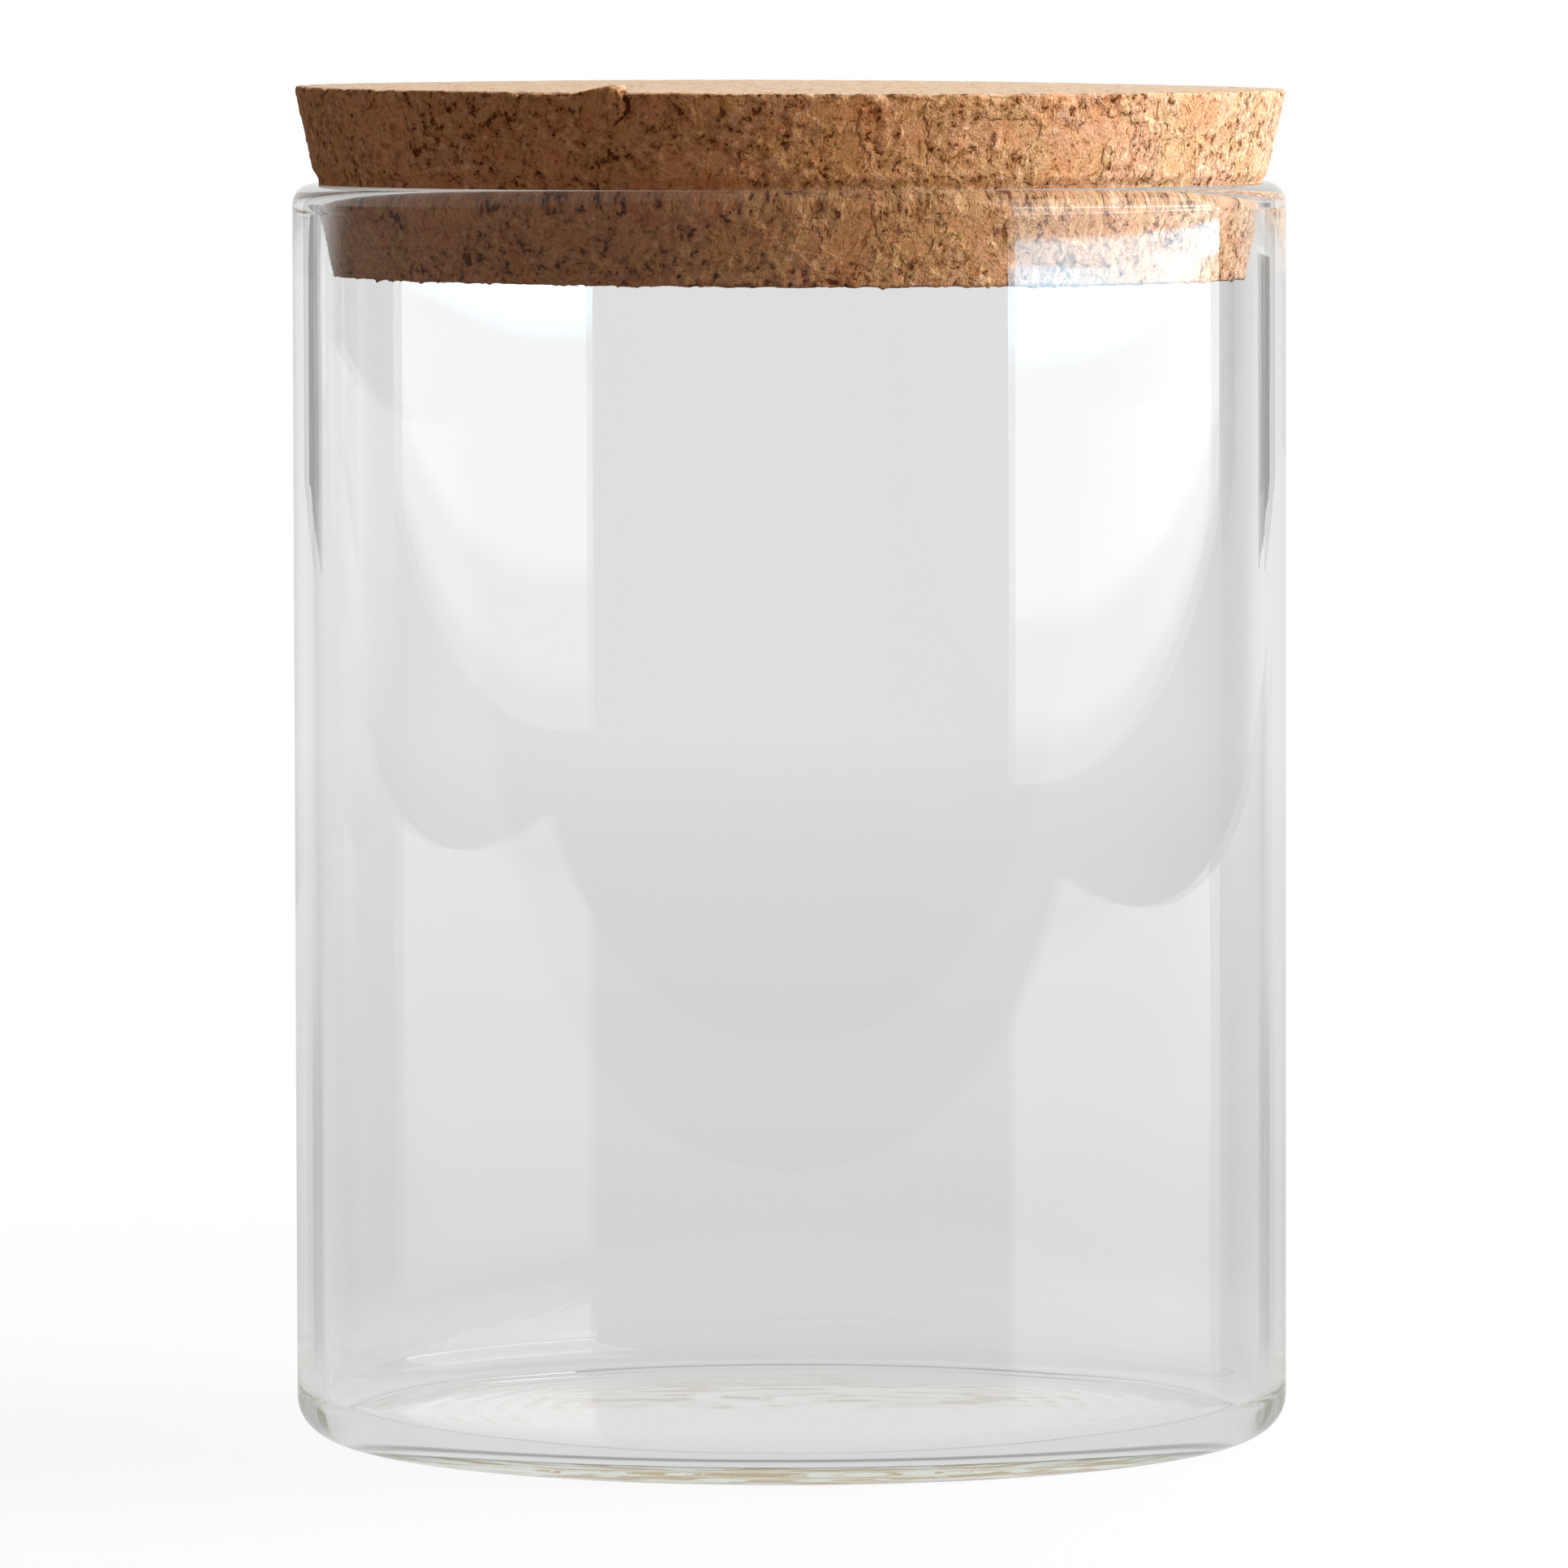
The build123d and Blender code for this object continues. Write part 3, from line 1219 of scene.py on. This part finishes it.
@dataclass
class Studio:
    """The white table, the panels and lamps around the object, and the camera.

    Bearings are in degrees from the camera's side of the object, turning to the right.
    """

    paper: float = 0.835
    # The table's brightness by distance from the axis: painted shadow of the jar and cork near the
    # object, brighter farther out.
    painted_table_shade: tuple[Pair, ...] = (
        (0.00, 0.69),
        (0.07, 0.69),
        (0.145, 0.62),
        (0.22, 0.635),
        (0.32, 0.70),
        (0.48, 0.745),
        (0.70, 0.77),
        (0.96, 0.835),
    )
    table_reach: float = 1.25
    table_right: float = 0.81
    table_front: float = -0.387
    table_left: float = -3.0
    table_back: float = 2.6
    air_gap: float = 0.02 * MM
    matt: Colour = (0.84, 0.97, 1.0)
    white_near: float = 0.8
    white_past: Range = (0.10, 0.30)
    side_shade: float = 0.80
    side_slope: float = 0.55
    side_edge: Range = (0.0, 0.12)
    side_from: Range = (0.15, 0.40)
    rim_shadow: float = 0.5
    rim_inner: Range = (0.0446, 0.0452)
    rim_outer: Range = (0.0454, 0.0459)
    table_ior: float = 1.45
    table_gloss: float = 0.52
    gloss_rough: float = 0.02
    gloss_from: Range = (0.06, 0.14)
    gloss_to: Range = (0.3, 0.6)
    softbox_distance: float = 1.136
    softbox_bearing: float = 57.0
    softbox_from: float = 52.0
    softbox_to: float = 117.0
    softbox_height: float = 1.6
    softbox_levels: tuple[Triple, ...] = (
        (0.004, 0.014, 1.8),
        (0.025, 0.035, 3.0),
        (0.100, 0.220, 1.9),
    )
    brow_glow: float = 8.6
    brow_colour: Colour = (0.60, 1.0, 1.25)
    brow_before: float = 1.5
    brow_lower: Range = (74 * MM, 84 * MM)
    brow_upper: Range = (112 * MM, 122 * MM)
    key_from: float = 60.0
    key_bend: float = 88.0
    key_to: float = 120.0
    key_glow: float = 8.4
    near_key: Colour = (1.02, 0.74, 0.46)
    far_key: Colour = (0.77, 0.94, 1.25)
    overhead_size: float = 1.0
    overhead_glow: float = 0.80
    overhead_place: Triple = (0.2, 0.3, 1.3)
    overhead_facing: Triple = (0.15, 0.2, 1.0)
    flag_side: float = 1.15
    flag_front: float = 1.52
    flag_back: float = 2.23
    flag_height: float = 1.5
    flag_glow: float = 0.27
    ceiling: float = 0.75
    ceiling_edge: Range = (0.42, 0.56)
    dark_room: float = 0.12
    dark_edge: Range = (0.60, 0.80)
    fill: Colour = (0.175, 0.094, 0.060)
    left_fill: Colour = (0.27, 0.200, 0.145)
    left_edge: Range = (-0.9, -0.2)
    bounce: Colour = (0.185, 0.100, 0.063)
    sensor_mm: float = 36.0
    camera_lens: float = 299.4
    camera_place: Triple = (-0.00064, -1.3135, 0.1480)
    camera_down: float = 3.579
    camera_roll: float = -0.13

    def bearing(self, degrees: float) -> Vector:
        """Gives the level direction at a bearing."""
        angle = math.radians(degrees)
        return Vector((math.sin(angle), -math.cos(angle), 0.0))

    def panel(
        self, name: str, corners: list[Vector], material: bpy.types.Material
    ) -> bpy.types.Object:
        """Makes a flat four-cornered stage piece.

        Args:
            name: The object's name.
            corners: Its corners in order.
            material: Its material.

        Returns:
            The object.
        """
        data = bpy.data.meshes.new(name)
        data.from_pydata([tuple(corner) for corner in corners], [], [(0, 1, 2, 3)])
        data.materials.append(material)
        made = bpy.data.objects.new(name, data)
        bpy.context.scene.collection.objects.link(made)
        return made

    def for_glass_only(self, made: bpy.types.Object) -> None:
        """Lets only reflections and views through glass show an object.

        Args:
            made: The object.
        """
        made.visible_camera = False
        made.visible_diffuse = False
        made.visible_shadow = False

    def softbox(self) -> None:
        """Hangs the big light panel on the right, as the glass mirrors it.

        It grows brighter upwards from its foot. A brow of stronger, cooler light in it shows in a
        first reflection alone, not where the table mirrors the panel.
        """
        facing = self.bearing(self.softbox_bearing)
        middle = facing * self.softbox_distance
        along = Vector((0, 0, 1)).cross(facing)
        corners = []
        for edge in (self.softbox_from, self.softbox_to):
            aside = math.tan(math.radians(edge - self.softbox_bearing)) * self.softbox_distance
            corners.append(middle + along * aside)
        top = Vector((0, 0, self.softbox_height))
        corners += [corners[1] + top, corners[0] + top]

        material, graph = new_graph("softbox_glow")
        _, _, height = graph.split(graph.place())
        surface = graph.shader(Shader.GLOW, Color=WHITE, Strength=self.paper)
        for low, high, glow in self.softbox_levels:
            light = graph.shader(Shader.GLOW, Color=WHITE, Strength=glow)
            surface = graph.mix_shader(height.over(low, high), surface, light)
        brow = graph.shader(Shader.GLOW, Color=self.brow_colour, Strength=self.brow_glow)
        band = height.over(*self.brow_lower) * height.under(*self.brow_upper)
        first = graph.ray("Glossy Depth").math("LESS_THAN", self.brow_before)
        graph.output(graph.mix_shader(band * first, surface, brow))
        self.for_glass_only(self.panel("softbox", corners, material))

    def key(self) -> None:
        """Hangs the two lamps that stand for the softbox where it lights the cork."""
        reach = self.softbox_distance
        near = (self.key_from, self.key_bend, self.near_key)
        far = (self.key_bend, self.key_to, self.far_key)
        for start, end, colour in (near, far):
            middle = (start + end) / 2
            facing = self.bearing(middle)
            lamp = bpy.data.lights.new("key", "AREA")
            lamp.shape = "RECTANGLE"
            lamp.color = colour
            lamp.size = 2 * reach * math.tan(math.radians(end - middle))
            lamp.size_y = self.softbox_height
            lamp.energy = math.pi * lamp.size * lamp.size_y * self.key_glow
            self.hang(lamp, facing * reach + Vector((0, 0, self.softbox_height / 2)), facing)

    def overhead(self) -> None:
        """Hangs the lamp over the table."""
        lamp = bpy.data.lights.new("overhead", "AREA")
        lamp.shape = "SQUARE"
        lamp.size = self.overhead_size
        lamp.energy = math.pi * lamp.size**2 * self.overhead_glow
        self.hang(lamp, Vector(self.overhead_place), Vector(self.overhead_facing).normalized())

    def hang(self, lamp: bpy.types.Light, place: Vector, facing: Vector) -> None:
        """Hangs a lamp that only lights matt surfaces.

        Args:
            lamp: The lamp.
            place: Where it hangs.
            facing: The direction from the object to it.
        """
        made = bpy.data.objects.new(lamp.name, lamp)
        made.location = place
        made.rotation_euler = facing.to_track_quat("Z", "Y").to_euler()
        made.visible_camera = False
        made.visible_glossy = False
        made.visible_transmission = False
        bpy.context.scene.collection.objects.link(made)

    def flags(self) -> None:
        """Stands dark panels behind the object, left and right, that draw the glass's edges."""
        material, graph = new_graph("flag_dark")
        graph.output(graph.shader(Shader.GLOW, Color=WHITE, Strength=self.flag_glow))
        top = Vector((0, 0, self.flag_height))
        for side in (-1, 1):
            near = Vector((side * self.flag_side, self.flag_front, 0))
            far = Vector((side * self.flag_side, self.flag_back, 0))
            self.for_glass_only(self.panel("flag", [near, far, far + top, near + top], material))

    def paper_tones(
        self, graph: Graph, place: bpy.types.NodeSocket, reach: Value
    ) -> bpy.types.NodeSocket:
        """Colours the table as the glass sees it.

        Args:
            graph: The table's graph.
            place: The place of a point on the table.
            reach: Its distance from the object's axis.

        Returns:
            The table's paper with painted shade: the shadow of the jar and cork near the object,
            darker at both sides toward the flags, and a painted contact shadow under the jar's rim.
        """
        stops = {"stops": [(spot, (tone,) * 3) for spot, tone in self.painted_table_shade]}
        ramp = graph.node("ShaderNodeValToRGB", stops, {0: reach / self.table_reach})
        across, depth, _ = graph.split(place)
        # Painted shade: the table darkens at both sides toward the flags.
        aside = (across.math("ABSOLUTE") - depth * self.side_slope).over(*self.side_edge)
        aside = aside * reach.over(*self.side_from)
        shaded_tones = graph.mix(aside * (1 - self.side_shade), ramp.outputs[0], BLACK)
        # Painted contact shadow under the jar's rim.
        contact = reach.over(*self.rim_inner) * reach.under(*self.rim_outer)
        return graph.mix(contact * self.rim_shadow, shaded_tones, BLACK)

    def table(self) -> None:
        """Lays the white table: paper white to the camera, glossy where the glass looks at it."""
        material, graph = new_graph("white_table")
        place = graph.place()
        reach = graph.value("ShaderNodeVectorMath", "Value", {"operation": "LENGTH"}, {0: place})
        bounce = graph.shader(Shader.DIFFUSE, Color=self.bounce)
        matt = graph.shader(Shader.DIFFUSE, Color=self.matt)
        white = graph.shader(Shader.GLOW, Color=WHITE, Strength=1.0)
        share = reach.over(*self.white_past) * (1 - self.white_near) + self.white_near
        seen = graph.mix_shader(share, matt, white)

        shaded_tones = self.paper_tones(graph, place, reach)
        paper = graph.shader(Shader.GLOW, Color=shaded_tones, Strength=1.0)
        shine = graph.shader(Shader.GLOSSY, Color=WHITE, Roughness=self.gloss_rough)
        fresnel = graph.value("ShaderNodeFresnel", 0, {}, {"IOR": self.table_ior})
        _, depth, _ = graph.split(place)
        gloss = fresnel * self.table_gloss * reach.over(*self.gloss_from)
        reflected = graph.mix_shader(gloss * depth.under(*self.gloss_to), paper, shine)

        by_glass = graph.any_ray("Is Glossy Ray", "Is Transmission Ray")
        surface = graph.mix_shader(by_glass, bounce, reflected)
        graph.output(graph.mix_shader(graph.ray("Is Camera Ray"), surface, seen))
        spots = (
            (self.table_left, self.table_front),
            (self.table_right, self.table_front),
            (self.table_right, self.table_back),
            (self.table_left, self.table_back),
        )
        self.panel("table", [Vector((*spot, -self.air_gap)) for spot in spots], material)

    def world(self) -> None:
        """Fills the room: white to the camera, paper and dark to the glass, dim to the cork."""
        world = bpy.data.worlds.new("room")
        world.use_nodes = True
        bpy.context.scene.world = world
        graph = Graph(world.node_tree)
        toward = graph.node("ShaderNodeTexCoord").outputs["Generated"]
        side, depth, height = graph.split(toward)
        room = graph.mix(height.over(*self.ceiling_edge), (self.paper,) * 3, (self.ceiling,) * 3)
        room = graph.mix(depth.over(*self.dark_edge), (self.dark_room,) * 3, room)
        dim = graph.mix(side.under(*self.left_edge), self.fill, self.left_fill)
        colour = graph.mix(graph.any_ray("Is Glossy Ray", "Is Transmission Ray"), dim, room)
        colour = graph.mix(graph.ray("Is Camera Ray"), colour, WHITE)
        light = graph.node("ShaderNodeBackground", {}, {"Color": colour, "Strength": 1.0})
        graph.node("ShaderNodeOutputWorld", {}, {"Surface": light.outputs[0]})

    def camera(self) -> None:
        """Sets up the camera at the photograph's angle."""
        data = bpy.data.cameras.new("camera")
        data.sensor_width = self.sensor_mm
        data.lens = self.camera_lens
        made = bpy.data.objects.new("camera", data)
        tilt = Euler((math.radians(90 - self.camera_down), 0, 0)).to_matrix()
        roll = Matrix.Rotation(math.radians(self.camera_roll), 3, "Z")
        made.location = self.camera_place
        made.rotation_euler = (tilt @ roll).to_euler()
        bpy.context.scene.collection.objects.link(made)
        bpy.context.scene.camera = made

    def build(self) -> None:
        """Builds the whole studio."""
        self.table()
        self.softbox()
        self.key()
        self.overhead()
        self.flags()
        self.world()
        self.camera()
        bpy.context.scene.view_settings.view_transform = "Standard"
        LOG.info("studio: table, softbox, key and overhead lamps, flags, room and camera")


def main() -> None:
    """Builds the studio, the jar and the stopper."""
    logging.basicConfig(level=logging.INFO)
    Studio().build()
    GlassJar().build()
    CorkStopper().build()


if __name__ == "__main__":
    main()
